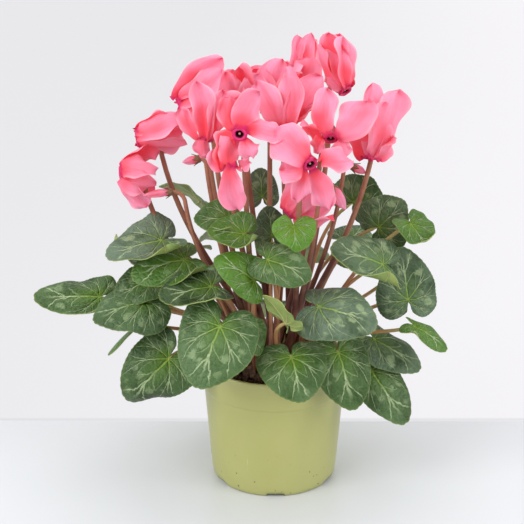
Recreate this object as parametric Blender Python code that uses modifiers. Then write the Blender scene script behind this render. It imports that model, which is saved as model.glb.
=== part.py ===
"""Potted cyclamen: a 12 cm nursery pot, potting mix, the tuber, and the leaves, flowers and buds it grows.

Units: metres, +Z up. The origin is on the table, under the middle of the pot's base.
Tables that place the plant are in millimetres, because a grower's ruler is.
"""
import math

import bmesh
import bpy
import numpy as np
from mathutils import Matrix, Vector
from mathutils.geometry import interpolate_bezier

MM = 0.001

# pot, in metres
RIM_R = 0.0600
RIM_Z = 0.1050
BAND_Z = 0.0800          # lower edge of the wide collar band
BASE_R = 0.0512
WALL = 0.0012
PAD_R = 0.0140           # flat pad in the middle of the base
FOOT_W = 0.0030
RECESS = 0.0030          # how far the base plate is above the table
DRAIN_SLOTS = 6
POT_STEPS = 24

# mix and tuber, in metres
GAP = 0.0003
MIX_Z = 0.0930
TUBER_R = 0.0280
TUBER_HALF = 0.0120
TUBER_Z = 0.0935

# leaf
BLADE_T = 0.0012
SPOKES = 10
RINGS = 2
SINUS = math.radians(9)      # half the open wedge at the leaf's base
PETIOLE_R = 0.0015
ARCH_BELOW = 0.135           # a leaf that hangs lower than this has a petiole that arches over the rim

# the crown: rings on top of the tuber where the stalks start, and the least space between two of them
LEAF_RINGS = (0.0205, 0.0262)
FLOWER_RINGS = (0.0015, 0.0085, 0.0148)
ROOT_SPACE = 0.0067
ROOT_LIFT = 0.0006
STALK_ROOM = 0.0009          # air between two stalks
SETTLE_ROUNDS = 80

# flower
TUBE_LEN = 0.0090
CALYX_LEN = 0.0040
TUBE_R = 0.0052
MOUTH_R = 0.0066
PETAL_T = 0.0012
STALK_R = 0.0021
HOOK_R = 0.0055
ROOT_LEAN = 6.0              # how far a stalk leans out at its foot, and
STALK_LEAN = 2.0             # how far under its hook, for each metre from the pot's axis

# attach point, tip, width, the way the blade faces, arch and side droop in degrees
LEAVES = [
    ((-43, -64, 157), (-59, -88, 115), 70, (-1, -8, 5), 20, -12),
    ((13, -57, 128), (20, -85, 103), 64, (0, -7, 7), 20, -14),
    ((51, -43, 126), (62, -66, 87), 54, (2, -8, 5), 20, -10),
    ((79, -30, 104), (106, -50, 66), 46, (3, -9, 4), 15, -10),
    ((-85, -40, 119), (-121, -57, 84), 60, (0, -9, 4), 15, -5),
    ((34, -50, 168), (77, -66, 160), 60, (0, -7, 7), 25, -35),
    ((-16, -56, 192), (-44, -64, 214), 40, (0, -7, 7), 10, 12),
    ((-50, -42, 180), (-90, -56, 175), 40, (0, -4, 8), 15, 12),
    ((-76, -21, 196), (-111, -41, 190), 32, (-1, -4, 8), 20, -14),
    ((-89, 18, 209), (-121, 2, 202), 32, (0, -1, 9), 15, 10),
    ((-103, 12, 190), (-140, -2, 186), 42, (0, -1, 9), 5, 12),
    ((-100, -14, 176), (-128, -26, 166), 42, (-2, -6, 7), 10, 0),
    ((-104, -26, 163), (-144, -42, 153), 58, (-1, -5, 8), 20, -18),
    ((-143, -2, 158), (-195, -12, 158), 46, (0, -6, 7), 18, -25),
    ((-108, -2, 137), (-137, -20, 114), 36, (-3, 4, 8), 15, -10),
    ((-6, -56, 209), (29, -60, 196), 40, (-1, -7, 6), 15, -8),
    ((9, -69, 162), (-9, -73, 186), 28, (6, 5, 5), 10, 25),
    ((14, -56, 236), (16, -70, 222), 36, (0, -6, 8), 10, 0),
    ((-36, -32, 234), (-62, -38, 236), 36, (0, -8, 5), 10, 0),
    ((-24, -44, 226), (-52, -48, 228), 36, (0, -7, 6), 10, 35),
    ((-2, -14, 214), (-5, -10, 238), 32, (0, -5, 7), 10, 10),
    ((85, 14, 212), (105, 8, 234), 54, (1, -8, 5), 10, -5),
    ((109, -6, 222), (121, -18, 202), 36, (1, -4, 8), 20, 20),
    ((86, -30, 200), (43, -42, 218), 52, (0, -5, 8), 15, -15),
    ((108, -16, 160), (102, -6, 200), 56, (1, -9, 4), 10, -8),
    ((112, -34, 145), (138, -42, 128), 28, (2, -3, 8), 20, -35),
    ((82, -15, 126), (119, -25, 100), 48, (1, -4, 9), 15, -10),
    ((-18, -43, 147), (-13, -53, 128), 24, (2, -7, 6), 10, 0),
    ((-62, 32, 231), (-93, 40, 243), 46, (0, 5, 8), 15, -10),
    ((66, 40, 225), (81, 36, 248), 50, (1, -7, 6), 10, -5),
    ((-10, 48, 228), (-12, 54, 252), 32, (1, -8, 4), 10, 0),
    ((62, 44, 190), (94, 52, 184), 54, (0, -5, 8), 20, -10),
    ((20, 78, 176), (28, 110, 150), 66, (0, 2, 9), 20, -10),
    ((-32, 74, 190), (-46, 110, 168), 68, (0, 2, 9), 20, -10),
    ((-78, 50, 180), (-110, 74, 160), 62, (-1, 1, 9), 20, -10),
    ((98, 38, 160), (132, 54, 142), 60, (1, 1, 9), 20, -10),
    ((-2, 62, 128), (-6, 98, 98), 62, (0, 7, 6), 20, -10),
    ((-100, 44, 138), (-130, 66, 114), 56, (-2, 2, 9), 20, -10),
]

# mouth, the way the flower faces, petal length, spread of the petals in degrees
FLOWERS = [
    ((-122, -6, 264), (-10, -2, 0), 34, 22),
    ((-110, 14, 287), (-10, -2, -1), 44, 10),
    ((-76, 12, 316), (-9, -3, -4), 30, 8),
    ((-53, -26, 295), (-1, -4, -9), 44, 9),
    ((-27, -52, 306), (-1, -9, -2), 32, 50),
    ((-42, -32, 274), (-2, -3, -9), 14, 10),
    ((-30, 40, 299), (0, 1, -9), 40, 6),
    ((7, 0, 299), (0, -2, -9), 46, 10),
    ((-4, 52, 300), (0, 2, -9), 40, 6),
    ((20, 70, 314), (1, 1, -9), 44, 7),
    ((56, 20, 323), (5, -6, -7), 44, 9),
    ((42, -34, 298), (0, -7, -6), 34, 26),
    ((77, -12, 277), (-1, -3, -9), 56, 9),
    ((26, -60, 285), (3, -8, -4), 30, 50),
    ((10, -26, 236), (-6, -2, -6), 26, 5),
]

# calyx end, the way the bud points, length, fattest radius, radius of the hook
BUDS = [
    ((-81, -26, 254), (-9, -1, -1), 23, 3.0, 10),
    ((-60, -10, 276), (-9, 0, -2), 14, 3.2, 5),
    ((43, -40, 262), (5, -1, -8), 22, 4.6, 5),
    ((62, 4, 266), (8, 0, -4), 13, 3.2, 5),
]


def clear_scene():
    for old in list(bpy.data.objects):
        bpy.data.objects.remove(old)


def collection(name):
    group = bpy.data.collections.new(name)
    bpy.context.scene.collection.children.link(group)
    return group


def material(name, rgb, roughness):
    mat = bpy.data.materials.new(name)
    mat.use_nodes = True
    shader = mat.node_tree.nodes["Principled BSDF"]
    shader.inputs["Base Color"].default_value = (*rgb, 1.0)
    shader.inputs["Roughness"].default_value = roughness
    shader.inputs["Metallic"].default_value = 0.0
    return mat


def add_mesh(name, mesh, mat, group):
    obj = bpy.data.objects.new(name, mesh)
    if mat:
        mesh.materials.append(mat)
    group.objects.link(obj)
    return obj


def hide_tool(obj):
    obj.hide_render = True
    obj.display_type = "WIRE"
    return obj


def join(obj, tool):
    """Grow a second closed shape into the first one."""
    union = obj.modifiers.new("grown_together", "BOOLEAN")
    union.operation = "UNION"
    union.solver = "EXACT"
    union.object = tool


def cut(obj, tool):
    hole = obj.modifiers.new("cut", "BOOLEAN")
    hole.operation = "DIFFERENCE"
    hole.solver = "EXACT"
    hole.object = tool


def turned(name, profile, mat, group, steps):
    """Spin a profile that runs from the axis down its outer side and back to the axis."""
    bm = bmesh.new()
    verts = [bm.verts.new((r, 0.0, z)) for r, z in profile]
    for above, below in zip(verts, verts[1:]):
        bm.edges.new((above, below))
    mesh = bpy.data.meshes.new(name)
    bm.to_mesh(mesh)
    bm.free()
    obj = add_mesh(name, mesh, mat, group)
    screw = obj.modifiers.new("turn", "SCREW")
    screw.axis = "Z"
    screw.angle = math.tau
    screw.steps = steps
    screw.render_steps = steps
    screw.use_merge_vertices = True
    screw.merge_threshold = 0.00005
    return obj


def tube(name, points, radii, group):
    """A round stalk through the points, as a closed mesh."""
    curve = bpy.data.curves.new(name, "CURVE")
    curve.dimensions = "3D"
    curve.bevel_depth = 1.0
    curve.bevel_resolution = 1
    curve.use_fill_caps = True
    spline = curve.splines.new("POLY")
    spline.points.add(len(points) - 1)
    for knot, point, radius in zip(spline.points, points, radii):
        knot.co = (*point, 1.0)
        knot.radius = radius
    guide = bpy.data.objects.new(name + "_guide", curve)
    group.objects.link(guide)
    bpy.context.view_layer.update()
    ready = guide.evaluated_get(bpy.context.evaluated_depsgraph_get())
    mesh = bpy.data.meshes.new_from_object(ready)
    bm = bmesh.new()
    bm.from_mesh(mesh)
    bmesh.ops.remove_doubles(bm, verts=bm.verts, dist=0.00001)
    bm.to_mesh(mesh)
    bm.free()
    obj = add_mesh(name, mesh, None, group)
    obj.matrix_world = guide.matrix_world
    bpy.data.objects.remove(guide)
    return hide_tool(obj)


# ---------------------------------------------------------------- pot, mix, tuber

def build_pot(group, tools):
    mat = material("olive_plastic", (0.42, 0.41, 0.16), 0.45)
    lip = 0.0008
    plate = RECESS + WALL
    profile = [
        (RIM_R - WALL, RIM_Z),
        (RIM_R + lip / 2, RIM_Z),
        (RIM_R + lip, RIM_Z - 0.001),
        (RIM_R + lip, RIM_Z - 0.003),
        (RIM_R, RIM_Z - 0.004),
        (RIM_R - 0.0004, BAND_Z + 0.001),
        (RIM_R - 0.0014, BAND_Z),
        (BASE_R + 0.0006, 0.006),
        (BASE_R - 0.0006, 0.001),
        (BASE_R - 0.0016, 0.0),
        (BASE_R - 0.0016 - FOOT_W, 0.0),
        (BASE_R - 0.0026 - FOOT_W, RECESS),
        (PAD_R + 0.001, RECESS),
        (PAD_R, 0.0),
        (0.0, 0.0),
    ]
    inside = [
        (0.0, plate),
        (BASE_R - 0.0030, plate),
        (BASE_R + 0.0006 - WALL, plate + 0.0025),
        (RIM_R - 0.0014 - WALL, BAND_Z),
        (RIM_R - 0.0004 - WALL, BAND_Z + 0.0015),
        (RIM_R - WALL, RIM_Z),
    ]
    pot = turned("pot", profile + inside, mat, group, POT_STEPS)
    slot_size = Vector((0.010, 0.009, 0.006))
    for i in range(DRAIN_SLOTS):
        angle = math.tau * (i + 0.5) / DRAIN_SLOTS
        bm = bmesh.new()
        bmesh.ops.create_cube(bm, size=1.0)
        bmesh.ops.scale(bm, vec=slot_size, verts=bm.verts)
        place = Matrix.Rotation(angle, 4, "Z") @ Matrix.Translation((BASE_R - 0.0020, 0.0, 0.0))
        bmesh.ops.transform(bm, matrix=place, verts=bm.verts)
        mesh = bpy.data.meshes.new(f"drain_slot_{i + 1}")
        bm.to_mesh(mesh)
        bm.free()
        cut(pot, hide_tool(add_mesh(f"drain_slot_{i + 1}", mesh, None, tools)))


def tuber_height(r, grow=0.0):
    """Half height of the tuber at a radius; grow makes the hollow that it sits in."""
    share = min(1.0, r / (TUBER_R + grow))
    return (TUBER_HALF + grow) * math.sqrt(1.0 - share * share)


def build_tuber(group):
    mat = material("tuber_skin", (0.16, 0.09, 0.06), 0.8)
    steps = 8
    profile = []
    for i in range(steps + 1):
        angle = math.pi * i / steps
        profile.append((TUBER_R * math.sin(angle), TUBER_Z + TUBER_HALF * math.cos(angle)))
    turned("tuber", profile, mat, group, 16)


def build_mix(group):
    mat = material("peat", (0.05, 0.025, 0.018), 0.95)
    floor = RECESS + WALL + GAP
    fit = WALL + GAP + 0.0002
    profile = [
        (RIM_R - 0.0010 - fit, MIX_Z - 0.001),
        (RIM_R - 0.0010 - fit, BAND_Z + 0.003),
        (RIM_R - 0.0018 - fit, BAND_Z - 0.001),
        (BASE_R - fit, floor + 0.003),
        (BASE_R - 0.0035 - GAP, floor),
        (0.0, floor),
    ]
    hollow = TUBER_R + 0.0010
    bowl = []
    for i in range(5):
        angle = math.pi / 2 * i / 4
        bowl.append((hollow * math.sin(angle), TUBER_Z - (TUBER_HALF + 0.0010) * math.cos(angle)))
    bowl[-1] = (hollow, MIX_Z)
    top = [(0.038, MIX_Z + 0.001), (0.050, MIX_Z - 0.001)]
    outline = bowl + top + profile
    turned("potting_mix", outline, mat, group, POT_STEPS)


# ---------------------------------------------------------------- the crown

def spread_round(angles, room):
    """Push neighbours on a ring apart until each pair is at least room apart; the order stays."""
    order = sorted(range(len(angles)), key=lambda i: angles[i])
    placed = [angles[i] for i in order]
    count = len(placed)
    for _ in range(600):
        for i in range(count if count > 1 else 0):
            nxt = (i + 1) % count
            lack = room - (placed[nxt] - placed[i] + (math.tau if nxt == 0 else 0.0))
            if lack > 0:
                placed[i] -= lack / 2
                placed[nxt] += lack / 2
    return {order[i]: placed[i] for i in range(count)}


def crown_feet(targets, rings):
    """A foot on the tuber for each stalk: the most upright on the inner ring, the most leaning outside."""
    lean = [t.xy.length / (t.z - TUBER_Z) for t in targets]
    ranked = sorted(range(len(targets)), key=lambda i: lean[i])
    space = sum(rings)
    feet, first = {}, 0
    for ring in rings:
        last = len(ranked) if ring == rings[-1] else first + max(1, round(len(ranked) * ring / space))
        members = ranked[first:last]
        first = last
        angles = [math.atan2(targets[i].y, targets[i].x) for i in members]
        for k, angle in spread_round(angles, ROOT_SPACE / ring).items():
            height = TUBER_Z + tuber_height(max(0.0, ring - PETIOLE_R)) + ROOT_LIFT
            feet[members[k]] = Vector((ring * math.cos(angle), ring * math.sin(angle), height))
    return [feet[i] for i in range(len(targets))]


def segment_meeting(p, q, r, s):
    """Shares along p-q and r-s of the closest points of two segments, for whole arrays of segments."""
    first, second, gap = q - p, s - r, p - r
    a = np.einsum("...i,...i", first, first)
    b = np.einsum("...i,...i", first, second)
    c = np.einsum("...i,...i", first, gap)
    e = np.einsum("...i,...i", second, second)
    f = np.einsum("...i,...i", second, gap)
    on_first = np.clip((b * f - c * e) / np.maximum(a * e - b * b, 1e-14), 0.0, 1.0)
    on_second = np.clip((b * on_first + f) / e, 0.0, 1.0)
    return np.clip((b * on_second - c) / a, 0.0, 1.0), on_second


def settle(stalks, radii, held):
    """Let crowded stalks push each other aside; the foot and the last held knots of each one stay."""
    knots = np.array([k[:] for stalk in stalks for k in stalk])
    width = np.array([r for stalk_radii in radii for r in stalk_radii])
    owner = np.concatenate([[i] * len(stalk) for i, stalk in enumerate(stalks)])
    free = np.concatenate([[0] + [1] * (len(s) - 1 - h) + [0] * h for s, h in zip(stalks, held)])
    seg = np.nonzero(owner[1:] == owner[:-1])[0]
    left, right = np.nonzero(np.triu(owner[seg][:, None] != owner[seg][None, :]))
    i, j = seg[left], seg[right]
    for _ in range(SETTLE_ROUNDS):
        u, v = segment_meeting(knots[i], knots[i + 1], knots[j], knots[j + 1])
        apart = (knots[i] * (1 - u)[:, None] + knots[i + 1] * u[:, None]
                 - knots[j] * (1 - v)[:, None] - knots[j + 1] * v[:, None])
        dist = np.maximum(np.linalg.norm(apart, axis=1), 1e-6)
        lack = np.maximum(width[i], width[i + 1]) + np.maximum(width[j], width[j + 1]) + STALK_ROOM - dist
        near = np.nonzero(lack > 0.0)[0]
        push = apart[near] * (0.5 * lack[near] / dist[near])[:, None]
        push[:, 2] *= 0.2
        moves = np.zeros_like(knots)
        np.add.at(moves, i[near], push * (1 - u[near])[:, None])
        np.add.at(moves, i[near] + 1, push * u[near][:, None])
        np.add.at(moves, j[near], -push * (1 - v[near])[:, None])
        np.add.at(moves, j[near] + 1, -push * v[near][:, None])
        knots += moves * free[:, None]
    return [[Vector(k) for k in knots[owner == n]] for n in range(len(stalks))]


# ---------------------------------------------------------------- leaves

def frame_of(start, end, face):
    """Along, across and up directions of a blade."""
    along = (end - start).normalized()
    up = (face - along * face.dot(along)).normalized()
    return along, up.cross(along), up


def leaf_outline(angle, length, half_width):
    """Distance from the attach point to the edge; angle 0 is the tip, pi the cleft."""
    lobe = 0.30 * length + 0.22 * half_width
    reach = length if abs(angle) < math.pi / 2 else lobe
    oval = 1.0 / math.hypot(math.cos(angle) / reach, math.sin(angle) / half_width)
    cleft = math.exp(-((math.pi - abs(angle)) / 0.42) ** 2)
    point = math.exp(-((angle / 0.25) ** 2))
    return oval * (1.0 - 0.35 * cleft) * (1.0 - 0.06 * (1.0 - point))


def leaf_point(leaf, turn, out):
    """A point of the blade; turn 0..1 goes round from cleft to cleft, out 0..1 from centre to edge."""
    attach, tip, width, face, arch, sides = leaf
    start, end = Vector(attach) * MM, Vector(tip) * MM
    along, across, up = frame_of(start, end, Vector(face))
    bend = math.radians(max(arch, 1))
    chord = (end - start).length
    length = chord * (bend / 2) / math.sin(bend / 2)
    tilt = Matrix.Rotation(-bend / 2, 3, across)
    along, up = tilt @ along, tilt @ up
    angle = (turn * 2.0 - 1.0) * (math.pi - SINUS)
    reach = out * leaf_outline(angle, length, width * MM / 2)
    fore, side = reach * math.cos(angle), reach * math.sin(angle)
    swing = bend * fore / length
    forward = length / bend * math.sin(swing)
    drop = length / bend * (1.0 - math.cos(swing))
    roll = math.radians(sides) * side / (width * MM / 2)
    radius = width * MM / 2 / math.radians(sides) if sides else 0.0
    lateral = radius * math.sin(roll) if sides else side
    rise = radius * (1.0 - math.cos(roll)) if sides else 0.0
    return start + along * forward + across * lateral + up * (rise - drop)


def petiole_points(attach, face, foot):
    outward = Vector((attach.x - foot.x, attach.y - foot.y, 0.0))
    reach = (attach - foot).length
    arrive = outward.normalized() * 0.75 + face.normalized() * 0.65
    arrive.z -= 1.2 * min(1.0, max(0.0, (ARCH_BELOW - attach.z) / 0.03))
    arrive.normalize()
    lean = (Vector((foot.x, foot.y, 0.0)).normalized() * 0.30 + Vector((0, 0, 1))).normalized()
    knots = interpolate_bezier(foot, foot + lean * reach * 0.40, attach - arrive * reach * 0.30, attach, 6)
    return [Vector(k) for k in knots]


def petiole_radii(count):
    return [PETIOLE_R * (1.25 - 0.35 * i / (count - 1)) for i in range(count)]


def build_leaf(index, leaf, petiole, group, tools, mat):
    name = f"leaf_{index:02d}"
    bm = bmesh.new()
    bmesh.ops.create_grid(bm, x_segments=SPOKES, y_segments=RINGS, size=0.5)
    for vert in bm.verts:
        vert.co = leaf_point(leaf, vert.co.x + 0.5, vert.co.y + 0.5)
    bmesh.ops.remove_doubles(bm, verts=bm.verts, dist=0.00005)
    mesh = bpy.data.meshes.new(name)
    bm.to_mesh(mesh)
    bm.free()
    blade = add_mesh(name, mesh, mat, group)
    thick = blade.modifiers.new("thickness", "SOLIDIFY")
    thick.thickness = BLADE_T
    thick.offset = 0.0
    join(blade, tube(name + "_petiole", petiole, petiole_radii(len(petiole)), tools))


# ---------------------------------------------------------------- flowers and buds

def hook_start(end, direction, hook):
    """Where the upright stalk begins to bend over so that it ends in the calyx, along the flower."""
    up = Vector((0, 0, 1))
    flat = Vector((direction.x, direction.y, 0.0)).normalized()
    turn = up.angle(direction)
    return end - hook * (up * math.sin(turn) + flat * (1.0 - math.cos(turn)))


def hooked_stalk(end, direction, foot, hook):
    """From the tuber up, over a small hook, and into the calyx along the flower's direction."""
    up = Vector((0, 0, 1))
    flat = Vector((direction.x, direction.y, 0.0)).normalized()
    turn = up.angle(direction)
    start = hook_start(end, direction, hook)
    rise = (start - foot).length
    out = Vector((start.x, start.y, 0.0))
    low, high = (up + out * ROOT_LEAN).normalized(), (up + out * STALK_LEAN).normalized()
    knots = interpolate_bezier(foot, foot + low * rise * 0.35, start - high * rise * 0.40, start, 5)
    points = [Vector(k) for k in knots]
    for i in (1, 2, 3):
        swing = turn * i / 3
        points.append(start + hook * (up * math.sin(swing) + flat * (1.0 - math.cos(swing))))
    return points


def corolla_profile(length, spread, lobe):
    """Radius and height along the flower's axis, from the calyx to a petal tip or a notch."""
    reach = length if lobe else length * 0.45
    lean_r, lean_h = math.sin(spread), math.cos(spread)
    first = reach * 0.40
    return [
        (0.0, -TUBE_LEN - CALYX_LEN),
        (TUBE_R, -TUBE_LEN),
        (MOUTH_R, 0.0),
        (MOUTH_R + 0.0030 + first * lean_r, 0.0005 - first * lean_h),
        (MOUTH_R + 0.0030 + reach * lean_r * (1.0 if lobe else 0.9), 0.0005 - reach * lean_h),
    ]


def corolla_mesh(name, mouth, direction, length, spread):
    side = direction.orthogonal().normalized()
    other = direction.cross(side)
    around, along = 10, 4
    bm = bmesh.new()
    bmesh.ops.create_grid(bm, x_segments=around, y_segments=along, size=0.5)
    for vert in bm.verts:
        step, ring = round((vert.co.x + 0.5) * around), round((vert.co.y + 0.5) * along)
        angle = math.tau * step / around
        radius, height = corolla_profile(length, spread, step % 2 == 0)[ring]
        ray = side * math.cos(angle) + other * math.sin(angle)
        vert.co = mouth + ray * radius + direction * height
    bmesh.ops.remove_doubles(bm, verts=bm.verts, dist=0.00005)
    bmesh.ops.recalc_face_normals(bm, faces=bm.faces)
    mesh = bpy.data.meshes.new(name)
    bm.to_mesh(mesh)
    bm.free()
    return mesh


def calyx_end(mouth, direction):
    return mouth - direction * (TUBE_LEN + CALYX_LEN - 0.0015)


def stalk_radii(count):
    return [STALK_R * (1.15 - 0.35 * i / (count - 1)) for i in range(count)]


def build_flower(index, flower, stalk, group, tools, mat):
    name = f"flower_{index:02d}"
    mouth, direction = Vector(flower[0]) * MM, Vector(flower[1]).normalized()
    mesh = corolla_mesh(name, mouth, direction, flower[2] * MM, math.radians(flower[3]))
    corolla = add_mesh(name, mesh, mat, group)
    thick = corolla.modifiers.new("thickness", "SOLIDIFY")
    thick.thickness = PETAL_T
    thick.offset = 0.0
    join(corolla, tube(name + "_stalk", stalk, stalk_radii(len(stalk)), tools))


def build_bud(index, bud, stalk, group, tools, mat):
    name = f"bud_{index:02d}"
    calyx, direction = Vector(bud[0]) * MM, Vector(bud[1]).normalized()
    length, fat = bud[2] * MM, bud[3] * MM
    bm = bmesh.new()
    bmesh.ops.create_uvsphere(bm, u_segments=8, v_segments=6, radius=1.0)
    bmesh.ops.scale(bm, vec=(fat, fat, length / 2), verts=bm.verts)
    turn = direction.to_track_quat("Z", "Y").to_matrix().to_4x4()
    place = Matrix.Translation(calyx + direction * (length / 2 - 0.001)) @ turn
    bmesh.ops.transform(bm, matrix=place, verts=bm.verts)
    mesh = bpy.data.meshes.new(name)
    bm.to_mesh(mesh)
    bm.free()
    body = add_mesh(name, mesh, mat, group)
    join(body, tube(name + "_stalk", stalk, stalk_radii(len(stalk)), tools))


def main():
    clear_scene()
    group = collection("potted_cyclamen")
    tools = collection("cutters")
    build_pot(group, tools)
    build_mix(group)
    build_tuber(group)
    leaf_green = material("leaf_green", (0.07, 0.16, 0.05), 0.5)
    petal_pink = material("petal_pink", (0.90, 0.22, 0.30), 0.5)
    attached = [Vector(leaf[0]) * MM for leaf in LEAVES]
    petioles = []
    for leaf, end, foot in zip(LEAVES, attached, crown_feet(attached, LEAF_RINGS)):
        petioles.append(petiole_points(end, Vector(leaf[3]), foot))
    ends = []
    for mouth, faces, *_ in FLOWERS:
        direction = Vector(faces).normalized()
        ends.append((calyx_end(Vector(mouth) * MM, direction), direction, HOOK_R))
    for calyx, points_to, *_, hook in BUDS:
        ends.append((Vector(calyx) * MM, Vector(points_to).normalized(), hook * MM))
    feet = crown_feet([hook_start(*end) for end in ends], FLOWER_RINGS)
    hooked = [hooked_stalk(end, direction, foot, hook) for (end, direction, hook), foot in zip(ends, feet)]
    radii = [petiole_radii(len(p)) for p in petioles] + [stalk_radii(len(h)) for h in hooked]
    held = [1] * len(petioles) + [4] * len(hooked)
    settled = settle(petioles + hooked, radii, held)
    for i, leaf in enumerate(LEAVES):
        build_leaf(i + 1, leaf, settled[i], group, tools, leaf_green)
    settled = settled[len(LEAVES):]
    for i, flower in enumerate(FLOWERS):
        build_flower(i + 1, flower, settled[i], group, tools, petal_pink)
    for i, bud in enumerate(BUDS):
        build_bud(i + 1, bud, settled[len(FLOWERS) + i], group, tools, petal_pink)


main()
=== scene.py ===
"""A florist's cyclamen in its nursery pot, made ready to stand on a pale studio table."""

import math
import random

import bmesh
import bpy
from mathutils import Euler, Matrix, Vector, noise
from mathutils.geometry import interpolate_bezier


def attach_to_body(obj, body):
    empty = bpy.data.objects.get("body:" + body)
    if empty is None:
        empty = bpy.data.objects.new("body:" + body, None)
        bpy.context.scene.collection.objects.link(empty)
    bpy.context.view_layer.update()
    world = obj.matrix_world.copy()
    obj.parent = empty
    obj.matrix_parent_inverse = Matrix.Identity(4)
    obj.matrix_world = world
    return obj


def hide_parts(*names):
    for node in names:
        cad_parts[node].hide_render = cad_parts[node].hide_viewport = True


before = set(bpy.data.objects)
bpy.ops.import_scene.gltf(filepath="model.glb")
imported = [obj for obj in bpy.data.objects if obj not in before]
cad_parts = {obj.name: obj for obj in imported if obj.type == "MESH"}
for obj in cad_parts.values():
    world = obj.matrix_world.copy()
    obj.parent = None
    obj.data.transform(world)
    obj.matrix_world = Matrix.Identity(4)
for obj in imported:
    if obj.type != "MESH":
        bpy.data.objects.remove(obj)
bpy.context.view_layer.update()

# ------------------------------------------------------------------ studio
# A pale, slightly glossy table under soft light. Behind the pot its far part glows in a plain wall
# colour:
# painted light, a little brighter to the right, with a painted shade line where table and wall meet.
# The camera stands a metre away and looks down a little on the plant.

LOOKS_DOWN = 19.5                # degrees that the camera is tilted down
WALL_AT = 0.088                  # how far behind the pot's axis the table's colour ends
HORIZON = 0.005                  # width of the painted shade line between table and wall

scene = bpy.context.scene
camera = bpy.data.objects.new("camera", bpy.data.cameras.new("camera"))
camera.location = (-0.0102, -1.0, 0.541)
camera.rotation_euler = Euler((math.radians(90 - LOOKS_DOWN), 0, 0))
camera.data.sensor_width = 36.0
camera.data.lens = 89.7
scene.collection.objects.link(camera)
scene.camera = camera
scene.view_settings.view_transform = "Standard"

world = bpy.data.worlds.new("studio")
world.use_nodes = True
world.node_tree.nodes["Background"].inputs["Color"].default_value = (0.97, 0.97, 1.0, 1.0)
world.node_tree.nodes["Background"].inputs["Strength"].default_value = 0.74
scene.world = world

LAMPS = {                        # place, width and power of each
    "softbox_left": ((-1.00, -1.00, 1.30), 1.1, 16.5),
    "softbox_right": ((1.10, -0.70, 0.90), 1.0, 7.5),
    "softbox_top": ((0.10, 0.50, 1.60), 1.2, 9.0),
    "strip_left": ((-1.00, -0.50, 0.45), 0.16, 2.4),
    "strip_right": ((1.00, -0.45, 0.45), 0.16, 1.6),
}
for name, (spot, width, power) in LAMPS.items():
    lamp = bpy.data.lights.new(name, "AREA")
    lamp.shape = "RECTANGLE"
    lamp.size = width
    lamp.size_y = max(width, 0.9)
    lamp.energy = power
    softbox = bpy.data.objects.new(name, lamp)
    softbox.location = spot
    softbox.rotation_euler = (Vector((0, 0, 0.18)) - Vector(spot)).to_track_quat("-Z", "Y").to_euler()
    scene.collection.objects.link(softbox)


class Wire:
    """One output of a shader node; sums, products and comparisons of wires add their Math nodes."""

    def __init__(self, tree, socket=None):
        self.tree = tree
        self.socket = socket

    def node(self, kind, settings=None, inputs=None, output=0):
        """Add any node: its type, its settings first, then the values or wires of its sockets."""
        made = self.tree.nodes.new(kind)
        for key, value in (settings or {}).items():
            setattr(made, key, value)
        for key, value in (inputs or {}).items():
            if isinstance(value, Wire):
                self.tree.links.new(value.socket, made.inputs[key])
            else:
                made.inputs[key].default_value = value
        return Wire(self.tree, made.outputs[output])

    def math(self, operation, *values):
        return self.node("ShaderNodeMath", {"operation": operation}, dict(enumerate(values)))

    def __add__(self, other):
        return self.math("ADD", self, other)

    def __mul__(self, other):
        return self.math("MULTIPLY", self, other)

    def __sub__(self, other):
        return self.math("SUBTRACT", self, other)

    def __rsub__(self, other):
        return self.math("SUBTRACT", other, self)

    def __abs__(self):
        return self.math("ABSOLUTE", self)

    __radd__ = __add__
    __rmul__ = __mul__

    def part(self):
        return self.math("FRACT", self)

    def ramp(self, low, high):
        """0 below low, 1 above high, smooth between; high may be the smaller one."""
        settings = {"interpolation_type": "SMOOTHSTEP"}
        if low > high:
            return 1.0 - self.ramp(high, low)
        return self.node("ShaderNodeMapRange", settings, {0: self, 1: low, 2: high})

    def blend(self, share, one, other):
        """Colour one where share is 0 and other where it is 1."""
        return self.node("ShaderNodeMix", {"data_type": "RGBA"}, {0: share, 6: one, 7: other}, 2)

    def split(self):
        return [self.node("ShaderNodeSeparateXYZ", None, {0: self}, i) for i in range(3)]

    def grain(self, scale, detail=3.0, rough=0.5, warp=0.0, where=None):
        """Noise from 0 to 1; one over scale is about one blotch, in metres."""
        spot = where or self.node("ShaderNodeTexCoord", None, None, 3)
        return self.node("ShaderNodeTexNoise", None, {
            "Vector": spot, "Scale": scale, "Detail": detail, "Roughness": rough, "Distortion": warp})


def rgb(red, green, blue):
    """A colour from its 0 to 255 screen values, as the linear one that a shader takes."""
    def linear(value):
        share = value / 255
        return share / 12.92 if share <= 0.04045 else ((share + 0.055) / 1.055) ** 2.4
    return (linear(red), linear(green), linear(blue), 1.0)


def new_material(name):
    """A material and a wire to start its maths from; the shader's name is Principled BSDF."""
    made = bpy.data.materials.new(name)
    made.use_nodes = True
    return made, Wire(made.node_tree), made.node_tree.nodes["Principled BSDF"]


def finish_shader(shader, wire, sockets, bump=None, depth=0.001):
    """Plug colours, roughness and bump into the Principled shader."""
    for key, value in sockets.items():
        if isinstance(value, Wire):
            wire.tree.links.new(value.socket, shader.inputs[key])
        else:
            shader.inputs[key].default_value = value
    if bump is not None:
        bumped = wire.node("ShaderNodeBump", None, {"Height": bump, "Distance": depth})
        wire.tree.links.new(bumped.socket, shader.inputs["Normal"])


CREASE = math.radians(60)        # sharper edges than this are not smoothed over


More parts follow.
